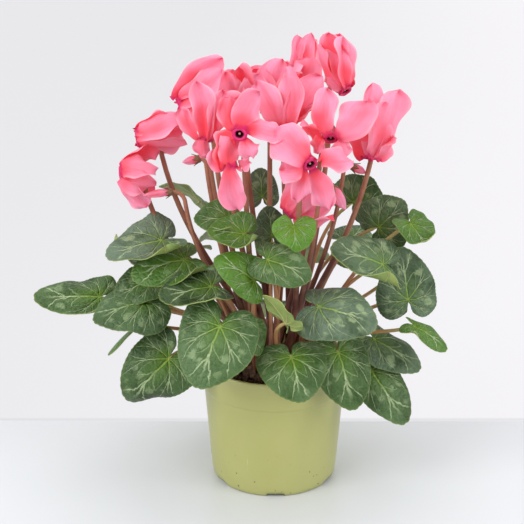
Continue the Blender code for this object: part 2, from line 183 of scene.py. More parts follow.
def place(name, bm, materials):
    """Put a finished mesh in the scene as one smooth-shaded piece."""
    mesh = bpy.data.meshes.new(name)
    for edge in bm.edges:
        edge.smooth = edge.calc_face_angle(0.0) < CREASE
    bm.to_mesh(mesh)
    bm.free()
    for each in materials:
        mesh.materials.append(each)
    mesh.polygons.foreach_set("use_smooth", [True] * len(mesh.polygons))
    made = bpy.data.objects.new(name, mesh)
    scene.collection.objects.link(made)
    return made


def belongs(piece, node):
    """The piece rides on the plant's one body and stands for a solid of the frame."""
    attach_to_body(piece, "root")
    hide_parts(node)


table_look, wire, shader = new_material("table_and_wall")
across, depth, _ = wire.node("ShaderNodeTexCoord", None, None, 3).split()
wall = depth.ramp(WALL_AT - 0.002, WALL_AT + 0.002)
# painted shade: a soft grey line just past the table's edge, where it meets the wall
painted_shade_line = wall * depth.ramp(WALL_AT + 0.003 + HORIZON, WALL_AT + 0.003)
# painted light: the wall's glow, a little brighter to the right
painted_wall_light = wire.blend((across - depth * 0.12).ramp(-0.5, 0.5), rgb(229, 228, 231), rgb(245, 243, 246))
finish_shader(shader, wire, {
    "Base Color": wire.blend(wall, rgb(208, 210, 212), rgb(60, 60, 62)),
    "Roughness": wall * 0.5 + 0.20 + wire.grain(9.0, 2.0) * 0.06,
    "Emission Color": wire.blend(wall, rgb(0, 0, 0), wire.blend(painted_shade_line * 0.5, painted_wall_light, rgb(206, 208, 212))),
    "Emission Strength": 0.92,
})
bm = bmesh.new()
bmesh.ops.create_grid(bm, x_segments=1, y_segments=1, size=6.0)
table = place("table", bm, [table_look])

# ------------------------------------------------------------------ pot
# A 12 cm nursery pot: thin injection-moulded polypropylene with a wide collar band, a rounded lip,
# a moulded foot ring with drain notches, and a flat pad in the middle of its base.

POT_STEPS = 180                  # facets round the pot
NOTCHES = 6                      # drain notches in the foot ring
NOTCH_HALF = math.radians(8)
NOTCH_HEIGHT = 0.0030
FOOT_RING = 0.045                # the foot ring lies outside this radius

pot_look, wire, shader = new_material("olive_plastic")
spot = wire.node("ShaderNodeTexCoord", None, None, 3)
_, _, z = spot.split()
cloud = wire.grain(14.0, 3.0, 0.55)
fine = wire.grain(900.0, 2.0, 0.6)
streak = wire.node("ShaderNodeMapping", None, {0: spot, 3: (160.0, 160.0, 9.0)})
scuff = wire.grain(1.0, 4.0, 0.7, 0.6, streak).ramp(0.66, 0.74)
speck = wire.grain(260.0, 1.0, 0.4).ramp(0.735, 0.765) * z.ramp(0.045, 0.012)
tint = wire.blend(cloud.ramp(0.35, 0.7), rgb(170, 170, 104), rgb(178, 178, 114))
tint = wire.blend(z.ramp(0.100, 0.079) * 0.35, tint, rgb(166, 168, 98))
tint = wire.blend(scuff * 0.30, tint, rgb(214, 215, 168))
tint = wire.blend(speck * 0.8, tint, rgb(70, 52, 34))
finish_shader(shader, wire, {
    "Base Color": tint,
    "Roughness": cloud * 0.12 + 0.26 + scuff * 0.2,
}, fine * 0.35 + cloud + scuff * 0.3, 0.00025)

# radius and height along the outside, from the lip to the middle of the base, then back up inside
POT_PROFILE = [
    (0.0587, 0.1046), (0.0591, 0.1050), (0.0604, 0.1050), (0.0608, 0.1046), (0.0608, 0.1022),
    (0.0605, 0.1012), (0.0600, 0.1008), (0.0598, 0.0900), (0.05965, 0.0822), (0.0594, 0.0812),
    (0.0587, 0.0804), (0.0585, 0.0796), (0.0560, 0.0480), (0.0535, 0.0160), (0.0524, 0.0056),
    (0.0519, 0.0026), (0.0511, 0.0008), (0.0500, 0.0000), (0.0468, 0.0000), (0.0462, 0.0010),
    (0.0458, 0.0030), (0.0150, 0.0030), (0.0144, 0.0026), (0.0140, 0.0004), (0.0134, 0.0000),
    (0.0000, 0.0000),
]
POT_INSIDE = [
    (0.0000, 0.0042), (0.0490, 0.0042), (0.0504, 0.0060), (0.0512, 0.0100), (0.0572, 0.0790),
    (0.0577, 0.0810), (0.0586, 0.0900), (0.0587, 0.1046),
]
bm = bmesh.new()
line = [bm.verts.new((r, 0.0, z)) for r, z in POT_PROFILE + POT_INSIDE]
edges = [bm.edges.new(pair) for pair in zip(line, line[1:])]
bmesh.ops.spin(bm, geom=line + edges, cent=(0, 0, 0), axis=(0, 0, 1), angle=math.tau,
               steps=POT_STEPS, use_merge=True, use_duplicate=False)
bmesh.ops.remove_doubles(bm, verts=bm.verts, dist=0.00002)
bmesh.ops.recalc_face_normals(bm, faces=bm.faces)
for vert in bm.verts:
    turn = math.atan2(vert.co.y, vert.co.x) / (math.tau / NOTCHES)
    aside = abs(turn - math.floor(turn) - 0.5) * math.tau / NOTCHES
    if vert.co.xy.length > FOOT_RING and vert.co.z < NOTCH_HEIGHT and aside < NOTCH_HALF:
        vert.co.z = NOTCH_HEIGHT
pot = place("pot", bm, [pot_look])
belongs(pot, "pot")

# ------------------------------------------------------------------ potting mix
# Moist dark red-brown peat, pressed in by hand, with loose crumbs on top and against the wall.

MIX_TOP = 0.0930
MIX_BOTTOM = 0.0048
MIX_R = 0.0572
MIX_TAPER = 0.87                 # its bottom radius over its top one
MIX_RINGS = 11                   # rings of faces between its rim and its middle
CRUMBS = 420                     # loose crumbs on top

mix_look, wire, shader = new_material("peat")
clod = wire.grain(420.0, 5.0, 0.7)
fibre = wire.grain(1600.0, 2.0, 0.6)
tint = wire.blend(clod.ramp(0.35, 0.65), rgb(38, 20, 15), rgb(92, 56, 42))
tint = wire.blend(fibre.ramp(0.60, 0.72) * 0.6, tint, rgb(142, 104, 78))
finish_shader(shader, wire, {"Base Color": tint, "Roughness": 0.93 - clod * 0.15},
              clod + fibre * 0.4, 0.0012)

dice = random.Random(7)
noise.seed_set(7)                # without it, noise_vector differs from run to run
bm = bmesh.new()
bmesh.ops.create_circle(bm, cap_ends=True, segments=96, radius=MIX_R)
bmesh.ops.inset_region(bm, faces=bm.faces[:], thickness=0.004)
for _ in range(MIX_RINGS):
    middle = max(bm.faces, key=lambda face: len(face.verts))
    bmesh.ops.inset_region(bm, faces=[middle], thickness=0.0042)
for vert in bm.verts:
    lump = noise.fractal(vert.co * 220, 1.0, 2.0, 4) * 0.0016
    vert.co.z = MIX_TOP + lump - 0.0015 * (vert.co.xy.length / MIX_R) ** 4
rim = [edge for edge in bm.edges if edge.is_boundary]
wall = bmesh.ops.extrude_edge_only(bm, edges=rim)["geom"]
for vert in wall:
    if isinstance(vert, bmesh.types.BMVert):
        vert.co = Vector((vert.co.x * MIX_TAPER, vert.co.y * MIX_TAPER, MIX_BOTTOM))
bmesh.ops.contextual_create(bm, geom=[e for e in bm.edges if e.is_boundary])
for _ in range(CRUMBS):
    size = dice.uniform(0.0006, 0.0022)
    turn, out = dice.uniform(0, math.tau), MIX_R * math.sqrt(dice.uniform(0.12, 0.93))
    spot = Matrix.Translation((out * math.cos(turn), out * math.sin(turn), MIX_TOP + size * 0.3))
    made = bmesh.ops.create_icosphere(bm, subdivisions=1, radius=size, matrix=spot)["verts"]
    for vert in made:
        vert.co += noise.noise_vector(vert.co * 900) * size * 0.5
bmesh.ops.recalc_face_normals(bm, faces=bm.faces)
mix = place("potting_mix", bm, [mix_look])
belongs(mix, "potting_mix")

# ------------------------------------------------------------------ tuber
# The flattened corky corm that every stalk grows from, half sunk in the mix, with root scars.

TUBER_R, TUBER_HALF, TUBER_Z = 0.0280, 0.0120, 0.0935

tuber_look, wire, shader = new_material("tuber_skin")
cork = wire.grain(260.0, 5.0, 0.7, 0.4)
crack = wire.grain(90.0, 4.0, 0.6, 1.0)
tint = wire.blend(cork.ramp(0.35, 0.65), rgb(62, 40, 30), rgb(128, 92, 68))
tint = wire.blend(crack.ramp(0.52, 0.58) * 0.5, tint, rgb(40, 26, 20))
finish_shader(shader, wire, {"Base Color": tint, "Roughness": cork * 0.15 + 0.72},
              cork + crack, 0.0011)

bm = bmesh.new()
bmesh.ops.create_icosphere(bm, subdivisions=5, radius=1.0)
for vert in bm.verts:
    knob = 1.0 + 0.03 * noise.fractal(vert.co * 3.0, 0.8, 2.0, 4)
    flat = Vector((vert.co.x * TUBER_R, vert.co.y * TUBER_R, vert.co.z * TUBER_HALF))
    vert.co = flat * knob + Vector((0, 0, TUBER_Z))
tuber = place("tuber", bm, [tuber_look])
belongs(tuber, "tuber")

# ------------------------------------------------------------------ leaves
# Fleshy heart-shaped blades with fine teeth, sunken palmate ribs, silver marbling and a pale underside.
# Each one grew in one piece with its round, slightly reddish stalk, which rises from the tuber's crown.

MM = 0.001
SPOKES, RINGS = 144, 20          # round the blade and from its centre to its edge
RIBS = 7
RIB_SWEEP = 0.22                 # how much the ribs lean towards the tip
SINUS = math.radians(12)         # half the open wedge between the two back lobes
TEETH = 25                       # fine teeth on each half of the edge
BLADE_T = 0.0007                 # thickness of a blade
PETIOLE_R = 0.0016
PETIOLE_STEPS = 18               # points along a leaf's stalk
STALK_SIDES = 12                 # facets round any stalk
ARCH_BELOW = 0.135               # leaves that hang lower have a stalk that arches over the rim
FOLD_FROM = 0.45                 # a folded part of the rim starts this far out
FOLD_SPAN = 38                   # and fades over this many degrees to both sides
FACE, UNDER, STALK = 0, 1, 2     # a leaf's materials

leaf_face, wire, shader = new_material("leaf_face")
turn, out, _ = wire.node("ShaderNodeUVMap", {"uv_map": "blade"}).split()
silver_and_sheen, bright, _ = wire.node("ShaderNodeUVMap", {"uv_map": "kind"}).split()
large = wire.grain(38.0, 3.0, 0.55, 0.3)
blotch = wire.grain(120.0, 4.0, 0.62, 0.5)
speckle = wire.grain(520.0, 3.0, 0.6)
stray = (blotch - 0.5) * 0.20 + (large - 0.5) * 0.35
fork = abs(((turn - 0.5) * (out * RIB_SWEEP + 1.0) * RIBS + 0.5 + stray).part() - 0.5)


def vein(begin, sway, thin):
    """A pair of veins that part from each rib at one distance out, and lean away from it by sway."""
    aside = abs(fork - out.math("MAXIMUM", out - begin, 0.0) * sway)
    return (aside * out).ramp(0.034 * thin, 0.008 * thin) * out.ramp(begin - 0.06, begin + 0.03)


rib = (fork * out).ramp(0.040, 0.012) * out.ramp(0.90, 0.55)
branch = vein(0.44, 0.60, 0.75) * out.ramp(1.0, 0.84)
twig = vein(0.24, 1.25, 0.6) * out.ramp(0.80, 0.60)
net = wire.node("ShaderNodeTexVoronoi", {"feature": "DISTANCE_TO_EDGE"}, {
    "Vector": wire.node("ShaderNodeTexCoord", None, None, 3), "Scale": 230.0})
mesh_line = net.ramp(0.07, 0.02)
cell = wire.node("ShaderNodeTexVoronoi", {"feature": "SMOOTH_F1"}, {
    "Vector": wire.node("ShaderNodeTexCoord", None, None, 3), "Scale": 105.0, "Smoothness": 0.3})
zone = out.ramp(0.34, 0.56) * out.ramp(0.97, 0.78) * fork.ramp(0.10, 0.20)
patchy = (large * 1.3 + silver_and_sheen * 0.5 - 0.72).ramp(0.0, 0.25)
marble = (cell + blotch * 1.3).ramp(1.10, 0.90) * zone * patchy
tint = wire.blend(large.ramp(0.32, 0.62), rgb(22, 48, 6), rgb(50, 80, 18))
tint = wire.blend(bright * 0.8, tint, rgb(92, 142, 28))
tint = wire.blend(out.ramp(0.72, 0.02) * (0.85 - silver_and_sheen * 0.35), tint, rgb(86, 124, 10))
# painted sheen: a broad grey cast on the silvery leaves, partly their own grey tone and partly a
# painted reflection of the soft light
tint = wire.blend(silver_and_sheen * silver_and_sheen * large.ramp(0.25, 0.60) * 0.80, tint, rgb(102, 120, 102))
tint = wire.blend(marble * (silver_and_sheen * 0.34 + 0.28), tint, rgb(152, 172, 126))
tint = wire.blend(mesh_line * 0.10, tint, rgb(116, 142, 74))
tint = wire.blend(twig * 0.45, tint, rgb(154, 178, 126))
tint = wire.blend(branch * 0.62, tint, rgb(176, 196, 148))
pith = wire.blend(out.ramp(0.15, 0.55), rgb(142, 172, 72), rgb(176, 196, 146))
tint = wire.blend(rib * 0.62, tint, pith)
tint = wire.blend(speckle.ramp(0.45, 0.75) * 0.25, tint, rgb(22, 44, 12))
tint = wire.blend(out.ramp(0.965, 1.0) * 0.45, tint, rgb(122, 140, 74))
relief = net.ramp(0.0, 0.3) * 0.35 + large * 0.5 + speckle * 0.22 - rib * 1.1
finish_shader(shader, wire, {
    "Base Color": tint,
    "Roughness": speckle * 0.20 + 0.34 + rib * 0.10,
    "Specular IOR Level": 0.35,
}, relief - branch * 0.8 - twig * 0.5, 0.00095)

leaf_under, wire, shader = new_material("leaf_underside")
turn, out, _ = wire.node("ShaderNodeUVMap", {"uv_map": "blade"}).split()
large = wire.grain(60.0, 3.0, 0.55)
speckle = wire.grain(520.0, 3.0, 0.6)
fork = abs(((turn - 0.5) * (out * RIB_SWEEP + 1.0) * RIBS + 0.5).part() - 0.5)
rib = (fork * out + speckle * 0.006).ramp(0.060, 0.015) * (1.08 - out * 0.55)
tint = wire.blend(large.ramp(0.3, 0.7), rgb(112, 136, 66), rgb(146, 160, 88))
tint = wire.blend(speckle.ramp(0.45, 0.75) * 0.22, tint, rgb(92, 108, 58))
tint = wire.blend(rib * 0.7, tint, rgb(186, 178, 118))
finish_shader(shader, wire, {"Base Color": tint, "Roughness": speckle * 0.12 + 0.46},
              rib + speckle * 0.2, 0.0007)

petiole_look, wire, shader = new_material("leaf_stalk")
_, along, _ = wire.node("ShaderNodeUVMap", {"uv_map": "blade"}).split()
fleck = wire.grain(600.0, 3.0, 0.6)
patch = wire.grain(70.0, 2.0, 0.5)
tint = wire.blend(along.ramp(0.05, 0.60), rgb(128, 62, 52), rgb(170, 118, 78))
tint = wire.blend(along.ramp(0.60, 0.98), tint, rgb(150, 146, 76))
tint = wire.blend(patch.ramp(0.4, 0.65) * 0.30, tint, rgb(190, 144, 108))
tint = wire.blend(fleck.ramp(0.5, 0.7) * 0.25, tint, rgb(120, 62, 50))
finish_shader(shader, wire, {"Base Color": tint, "Roughness": fleck * 0.15 + 0.36},
              fleck, 0.0003)

# attach point, tip, width, the way it faces, arch, droop of the sides, silver (marbling and a painted
# grey sheen), brightness, edge wave in mm, where a part of the rim folds (degrees from the tip) and how
# far it folds
LEAVES = [
    ((-43, -64, 157), (-59, -88, 115), 70, (-1, -8, 5), 20, -12, 0.55, 0.20, 1.4, 180, 0),
    ((13, -57, 128), (20, -85, 103), 64, (0, -7, 7), 20, -14, 0.50, 0.20, 1.4, 90, -15),
    ((51, -43, 126), (62, -66, 87), 54, (2, -8, 5), 20, -10, 0.45, 0.15, 1.4, -90, -15),
    ((79, -30, 104), (106, -50, 66), 46, (3, -9, 4), 15, -10, 0.55, 0.15, 1.2, 180, 0),
    ((-85, -40, 119), (-121, -57, 84), 60, (0, -9, 4), 15, -5, 0.45, 0.05, 1.8, 20, -60),
    ((34, -50, 168), (77, -66, 160), 60, (0, -7, 7), 25, -35, 1.00, 0.05, 1.8, 100, -25),
    ((-16, -56, 192), (-44, -64, 214), 40, (0, -7, 7), 10, 12, 0.15, 0.65, 1.5, 0, -35),
    ((-50, -42, 182), (-90, -56, 176), 48, (0, -5, 8), 15, 12, 0.50, 0.00, 2.0, 60, 40),
    ((-72, -24, 198), (-112, -40, 190), 52, (-1, -6, 7), 20, -14, 0.35, 0.40, 1.6, 100, 65),
    ((-90, -20, 213), (-132, -34, 203), 54, (0, -5, 8), 15, 10, 1.00, 0.00, 2.6, 90, 80),
    ((-103, 12, 190), (-140, -2, 186), 42, (0, -1, 9), 5, 12, 0.90, 0.00, 1.8, 0, 70),
    ((-100, -14, 176), (-128, -26, 166), 42, (-2, -6, 7), 10, 0, 0.45, 0.10, 1.4, 180, 0),
    ((-104, -26, 163), (-144, -42, 153), 58, (-1, -5, 8), 20, -18, 0.60, 0.10, 1.8, 80, -30),
    ((-143, -2, 158), (-195, -12, 158), 46, (0, -6, 7), 18, -25, 0.45, 0.10, 2.8, 75, 65),
    ((-108, -2, 137), (-137, -20, 114), 36, (-3, 4, 8), 15, -10, 0.30, 0.60, 1.2, 180, 0),
    ((-6, -56, 209), (29, -60, 196), 40, (-1, -7, 6), 15, -8, 0.50, 0.25, 1.6, 90, -30),
    ((9, -69, 162), (-9, -73, 186), 28, (6, 5, 5), 10, 25, 0.80, 0.20, 1.6, 90, 40),
    ((14, -56, 236), (16, -70, 222), 36, (0, -6, 8), 10, 0, 0.05, 0.90, 1.6, 0, -30),
    ((-36, -32, 234), (-62, -38, 236), 36, (0, -7, 6), 10, 0, 0.40, 0.25, 1.4, 80, 70),
    ((-24, -44, 226), (-52, -48, 228), 38, (0, -6, 7), 10, 35, 0.20, 0.35, 1.4, 120, 85),
    ((-2, -14, 214), (-5, -10, 238), 32, (0, -5, 7), 10, 10, 0.80, 0.00, 1.4, 180, 0),
    ((85, 14, 212), (105, 8, 234), 54, (1, -8, 5), 10, -5, 0.65, 0.05, 1.8, 60, -20),
    ((109, -6, 222), (121, -18, 202), 36, (1, -4, 8), 20, 20, 0.20, 0.45, 1.4, 0, 50),
    ((86, -30, 196), (42, -42, 210), 56, (0, -6, 7), 15, -15, 0.75, 0.05, 1.8, 75, 85),
    ((108, -16, 160), (102, -6, 200), 56, (1, -9, 4), 10, -8, 0.80, 0.00, 1.8, 90, -25),
    ((112, -34, 145), (138, -42, 128), 28, (2, -3, 8), 20, -35, 0.30, 0.50, 1.2, -80, 40),
    ((82, -15, 126), (119, -25, 100), 48, (1, -4, 9), 15, -10, 0.80, 0.05, 1.6, 90, -20),
    ((-18, -43, 147), (-13, -53, 128), 24, (2, -7, 6), 10, 0, 0.40, 0.40, 1.0, 180, 0),
    ((-62, 32, 231), (-93, 40, 243), 46, (0, 5, 8), 15, -10, 0.30, 0.40, 1.8, 180, 0),
    ((66, 40, 225), (81, 36, 248), 50, (1, -7, 6), 10, -5, 0.65, 0.10, 1.8, 180, 0),
    ((-10, 48, 228), (-12, 54, 252), 32, (1, -8, 4), 10, 0, 0.80, 0.00, 1.4, 180, 0),
    ((62, 44, 190), (94, 52, 184), 54, (0, -5, 8), 20, -10, 0.60, 0.10, 1.8, 90, -30),
    ((20, 78, 176), (28, 110, 150), 66, (0, 2, 9), 20, -10, 0.50, 0.15, 1.8, -90, -30),
    ((-32, 74, 190), (-46, 110, 168), 68, (0, 2, 9), 20, -10, 0.70, 0.05, 1.8, 180, 0),
    ((-78, 50, 180), (-110, 74, 160), 62, (-1, 1, 9), 20, -10, 0.50, 0.10, 1.8, 60, -30),
    ((98, 38, 160), (132, 54, 142), 60, (1, 1, 9), 20, -10, 0.60, 0.10, 1.8, 180, 0),
    ((-2, 62, 128), (-6, 98, 98), 62, (0, 7, 6), 20, -10, 0.50, 0.20, 1.6, 90, -20),
    ((-100, 44, 138), (-130, 66, 114), 56, (-2, 2, 9), 20, -10, 0.55, 0.10, 1.6, -60, -30),
]


def leaf_outline(angle, length, half_width):
    """Distance from the attach point to the edge: angle 0 is the tip and pi the cleft."""
    lobe = 0.38 * length + 0.26 * half_width
    reach = length if abs(angle) < math.pi / 2 else lobe
    oval = 1.0 / math.hypot(math.cos(angle) / reach, math.sin(angle) / half_width)
    cleft = math.exp(-((math.pi - abs(angle)) / 0.50) ** 2)
    point = math.exp(-((angle / 0.25) ** 2))
    return oval * (1.0 - 0.62 * cleft) * (1.0 - 0.08 * (1.0 - point))


def blade_shape(index, leaf):
    """A function from turn and out (0 to 1 round and outwards) to a point of that leaf's blade,
    and the way that the blade faces."""
    attach, tip, width, face, arch, sides, _, _, wave, fold_at, fold = leaf
    start, end = Vector(attach) * MM, Vector(tip) * MM
    along = (end - start).normalized()
    up = Vector(face)
    up = (up - along * up.dot(along)).normalized()
    across = up.cross(along)
    bend = math.radians(max(arch, 1))
    chord, half = (end - start).length, width * MM / 2
    length = chord * (bend / 2) / math.sin(bend / 2)
    tilt = Matrix.Rotation(-bend / 2, 3, across)
    along, up = tilt @ along, tilt @ up
    roll_r = half / math.radians(sides) if sides else 1e6

    def point(turn, out):
        angle = (turn * 2.0 - 1.0) * (math.pi - SINUS)
        lump = noise.noise(Vector((math.cos(angle) * 1.3, math.sin(angle) * 1.3, index * 3.7)))
        tooth = abs(math.sin(angle * TEETH)) - 0.6
        reach = leaf_outline(angle, length, half) * (1.0 + 0.07 * lump * out)
        apart = abs((angle - math.radians(fold_at) + math.pi) % math.tau - math.pi)
        near = math.degrees(apart) / FOLD_SPAN
        beyond = max(0.0, out - FOLD_FROM)
        folding = math.radians(fold) * beyond / (1 - FOLD_FROM) * math.exp(-near * near)
        flat = min(out, FOLD_FROM) + beyond * math.cos(folding)
        lift = reach * beyond * math.sin(folding)
        reach *= flat * (1.0 + 0.016 * tooth * out ** 12)
        fore, side = reach * math.cos(angle), reach * math.sin(angle)
        fork = abs(((turn - 0.5) * (1.0 + RIB_SWEEP * out) * RIBS + 0.5) % 1.0 - 0.5)
        quilt = 0.042 * length * math.sin(math.pi * fork) ** 0.8 * out * (1.15 - out)
        ripple = wave * MM * 1.7 * out ** 2.5 * math.sin(angle * 3.0 + index * 1.9)
        frill = wave * MM * 0.45 * out ** 5 * math.sin(angle * 9.0 + index)
        pit = -0.0012 * math.exp(-((out / 0.18) ** 2))
        lift += quilt + ripple + frill + pit - 0.0010 * out ** 5
        swing = bend * fore / length
        forward = length / bend * math.sin(swing)
        drop = length / bend * (1.0 - math.cos(swing))
        roll = side / roll_r
        rise = roll_r * (1.0 - math.cos(roll))
        return start + along * forward + across * roll_r * math.sin(roll) + up * (rise - drop + lift)

    return point, up


def add_tube(bm, path, radii, kind, uv):
    """A round stalk with closed ends along the path, from a grid rolled up round it."""
    rows = len(path) - 1
    frames, side = [], None
    for i, spot in enumerate(path):
        ahead = (path[min(i + 1, rows)] - path[max(i - 1, 0)]).normalized()
        side = ahead.orthogonal() if side is None else side - ahead * side.dot(ahead)
        side.normalize()
        frames.append((spot, side.copy(), ahead.cross(side)))
    made = bmesh.ops.create_grid(bm, x_segments=STALK_SIDES, y_segments=rows, size=0.5)["verts"]
    faces = {face for vert in made for face in vert.link_faces}
    for face in faces:
        face.material_index = kind
        for loop in face.loops:
            loop[uv].uv = (loop.vert.co.x + 0.5, loop.vert.co.y + 0.5)
    for vert in made:
        angle = math.tau * (vert.co.x + 0.5)
        row = round((vert.co.y + 0.5) * rows)
        spot, side, other = frames[row]
        radius = radii[row] if 0 < row < rows else 0.0
        vert.co = spot + (side * math.cos(angle) + other * math.sin(angle)) * radius
    bmesh.ops.remove_doubles(bm, verts=made, dist=0.000005)
    solid = [face for face in bm.faces if face.material_index == kind and face.is_valid]
    bmesh.ops.recalc_face_normals(bm, faces=solid)


def crown_foot(toward, ring, jitter):
    """A point on top of the tuber, on the side that the stalk leaves to."""
    angle = math.atan2(toward.y, toward.x) + jitter
    high = TUBER_HALF * math.sqrt(1.0 - (ring / TUBER_R) ** 2)
    return Vector((ring * math.cos(angle), ring * math.sin(angle), TUBER_Z + high - 0.001))


def petiole_path(attach, face, foot):
    """From the tuber's crown out and up to the blade; low leaves get an arch over the pot's rim."""
    outward = Vector((attach.x - foot.x, attach.y - foot.y, 0.0))
    reach = (attach - foot).length
    arrive = outward.normalized() * 0.75 + face.normalized() * 0.65
    arrive.z -= 1.2 * min(1.0, max(0.0, (ARCH_BELOW - attach.z) / 0.03))
    arrive.normalize()
    lean = (Vector((foot.x, foot.y, 0.0)).normalized() * 0.30 + Vector((0, 0, 1))).normalized()
    return interpolate_bezier(foot, foot + lean * reach * 0.40, attach - arrive * reach * 0.30,
                              attach, PETIOLE_STEPS)


for number, leaf in enumerate(LEAVES, 1):
    bm = bmesh.new()
    uv = bm.loops.layers.uv.new("blade")
    bmesh.ops.create_grid(bm, x_segments=SPOKES, y_segments=RINGS, size=0.5)
    for face in bm.faces:
        for loop in face.loops:
            loop[uv].uv = (loop.vert.co.x + 0.5, loop.vert.co.y + 0.5)
    point, up = blade_shape(number, leaf)
    for vert in bm.verts:
        vert.co = point(vert.co.x + 0.5, vert.co.y + 0.5)
    bmesh.ops.remove_doubles(bm, verts=bm.verts, dist=0.00001)
    bm.normal_update()
    if sum((face.normal.dot(up) for face in bm.faces)) < 0:
        bmesh.ops.reverse_faces(bm, faces=bm.faces)
    front = set(bm.faces)
    bmesh.ops.solidify(bm, geom=bm.faces[:], thickness=BLADE_T)
    for face in bm.faces:
        face.material_index = FACE if face in front else UNDER
    attach = Vector(leaf[0]) * MM
    foot = crown_foot(attach, 0.0205 + 0.0057 * (number % 2), 0.35 * math.sin(number * 2.4))
    path = [Vector(p) for p in petiole_path(attach, Vector(leaf[3]), foot)]
    radii = [PETIOLE_R * (1.25 - 0.40 * i / (PETIOLE_STEPS - 1)) for i in range(PETIOLE_STEPS)]
    add_tube(bm, path, radii, STALK, uv)
    kind = bm.loops.layers.uv.new("kind")
    for face in bm.faces:
        for loop in face.loops:
            loop[kind].uv = (leaf[6], leaf[7])
    name = f"leaf_{number:02d}"
    piece = place(name + "_grown", bm, [leaf_face, leaf_under, petiole_look])
    belongs(piece, name)

# ------------------------------------------------------------------ flowers
# Nodding flowers: a short tube with a dark maroon mouth, and five broad salmon petals that fold back
# over it, twist and lie against each other. Calyx, tube and hooked stalk grew in one piece with them.
# A petal is pink on the side that it shows; its other side is painted a deeper coral, as shade.

MOUTH_R = 0.0056
TUBE_DEPTH = 0.0130              # from the mouth back to the tube's closed end
STALK_IN = 0.0015                # how far the stalk runs into the tube
PETAL_T = 0.00045                # thickness of a petal
PETAL_ROWS = 30                  # faces from a petal's foot to its tip
PETAL_COLUMNS = 16               # and across it, on each side
STALK_R = 0.0021
STALK_STEPS = 20                 # path points below the hook
HOOK_STEPS = 8
HOOK_R = 0.0055
ROOT_LEAN = 6.0                  # how far a stalk leans out at its foot, for each metre that its
STALK_LEAN = 2.0                 # flower is from the pot's axis, and how far it leans at its top
PETAL, TUBE, STEM = 0, 1, 2      # a flower's materials

petal_look, wire, shader = new_material("petal")
aside, along, _ = wire.node("ShaderNodeUVMap", {"uv_map": "petal"}).split()
edge = abs(1.0 - abs(aside - 1.0) * 2.0)
# the side that a petal hides, which is painted deeper coral as shade
shaded_side = aside.ramp(0.98, 1.02)
grainy = wire.grain(420.0, 3.0, 0.6)
cloud = wire.grain(70.0, 2.0, 0.5)
streaks = wire.node("ShaderNodeTexNoise", None, {
    "Vector": wire.node("ShaderNodeCombineXYZ", None, {0: aside * 26.0, 1: along * 2.2}),
    "Scale": 1.0, "Detail": 3.0, "Roughness": 0.6})
veins = streaks.ramp(0.50, 0.66)
spread = wire.node("ShaderNodeTexNoise", None, {
    "Vector": wire.node("ShaderNodeTexCoord", None, None, 3), "Scale": 48.0, "Detail": 1.0})
# painted light and shade: coral on the hidden side and towards the foot, where the petal is shaded, on
# top of its own deeper colour there; pale pink where light comes through the thin edges and the tip;
# the noise adds the petal's own tone
pale = (edge * edge * 0.35 + along * 0.90 + spread * 1.3 - shaded_side * 0.45 - 0.66).ramp(0.0, 1.0)
tint = wire.blend(pale, rgb(250, 80, 98), rgb(252, 182, 218))
tint = wire.blend(cloud.ramp(0.35, 0.7) * 0.25, tint, rgb(255, 128, 146))
# painted light: near-white margins where light shines through the petal's thin edges, most towards its
# tip
tint = wire.blend(edge.ramp(0.70, 1.0) * along.ramp(0.2, 0.6) * 0.5, tint, rgb(255, 214, 228))
tint = wire.blend(veins * 0.24, tint, rgb(246, 104, 136))
tint = wire.blend(along.ramp(0.26, 0.03) * 0.9, tint, rgb(206, 22, 116))
finish_shader(shader, wire, {
    "Base Color": tint,
    "Roughness": grainy * 0.15 + 0.46,
    "Specular IOR Level": 0.35,
    "Sheen Weight": 0.15,
    "Sheen Roughness": 0.4,
    "Sheen Tint": (1.0, 0.80, 0.86, 1.0),
    # painted glow: the petals give off a little light in their own colour, standing in for light that
    # comes through them
    "Emission Color": tint,
    "Emission Strength": 0.07,
}, veins * 0.5 + grainy * 0.35, 0.0003)
glow = wire.node("ShaderNodeBsdfTranslucent", None, {"Color": rgb(254, 118, 140)})
through = wire.node("ShaderNodeMixShader", None, {
    0: 0.42, 1: Wire(wire.tree, shader.outputs[0]), 2: glow})
wire.tree.links.new(through.socket, wire.tree.nodes["Material Output"].inputs["Surface"])

tube_look, wire, shader = new_material("flower_tube")
_, along, _ = wire.node("ShaderNodeUVMap", {"uv_map": "petal"}).split()
fleck = wire.grain(900.0, 2.0, 0.6)
tint = wire.blend(along.ramp(0.10, 0.30), rgb(120, 92, 62), rgb(205, 96, 110))
tint = wire.blend(along.ramp(0.30, 0.46), tint, rgb(214, 30, 104))
tint = wire.blend(along.ramp(0.60, 0.69), tint, rgb(64, 5, 34))
tint = wire.blend(along.ramp(0.87, 0.93), tint, rgb(226, 170, 150))
tint = wire.blend(fleck.ramp(0.5, 0.7) * 0.3, tint, rgb(130, 30, 60))
finish_shader(shader, wire, {"Base Color": tint, "Roughness": fleck * 0.2 + 0.4}, fleck, 0.0002)

stem_look, wire, shader = new_material("flower_stalk")
_, along, _ = wire.node("ShaderNodeUVMap", {"uv_map": "petal"}).split()
fleck = wire.grain(700.0, 3.0, 0.6)
patch = wire.grain(40.0, 2.0, 0.5)
tint = wire.blend(along.ramp(0.10, 0.80), rgb(92, 42, 34), rgb(154, 94, 70))
tint = wire.blend(patch.ramp(0.42, 0.62) * 0.35, tint, rgb(184, 136, 104))
tint = wire.blend(along.ramp(0.86, 0.97) * 0.5, tint, rgb(126, 92, 62))
tint = wire.blend(fleck.ramp(0.5, 0.7) * 0.3, tint, rgb(104, 52, 44))
finish_shader(shader, wire, {"Base Color": tint, "Roughness": fleck * 0.15 + 0.42}, fleck, 0.0003)


